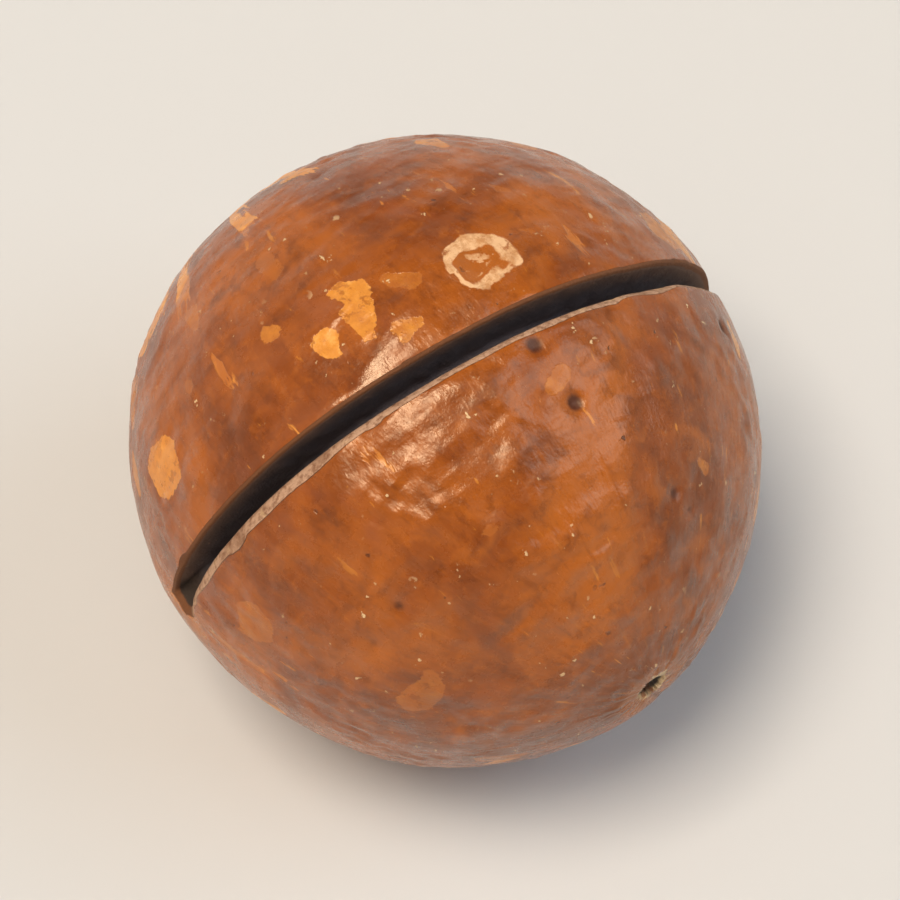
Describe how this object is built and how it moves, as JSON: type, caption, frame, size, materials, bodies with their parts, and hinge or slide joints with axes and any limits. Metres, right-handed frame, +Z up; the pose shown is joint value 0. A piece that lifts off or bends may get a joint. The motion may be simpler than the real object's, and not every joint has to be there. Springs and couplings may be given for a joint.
{
  "type": "macadamia nut in shell",
  "caption": "Whole macadamia nut in its hard brown shell, near round, with a thin saw slot round the top for cracking and a small flat spot to rest on.",
  "frame": {"origin": "centre of the small flat spot that the nut rests on", "axes": "+X along the nut's own axis from the hilum to the pore, +Z up, away from the surface it rests on"},
  "size_m": [0.0258, 0.0249, 0.0247],
  "materials": {
    "shell": "smooth semi-gloss nut shell, reddish brown with orange-tan flecks"
  },
  "bodies": {
    "root": {"macadamia_nut": "shell"}
  },
  "joints": []
}
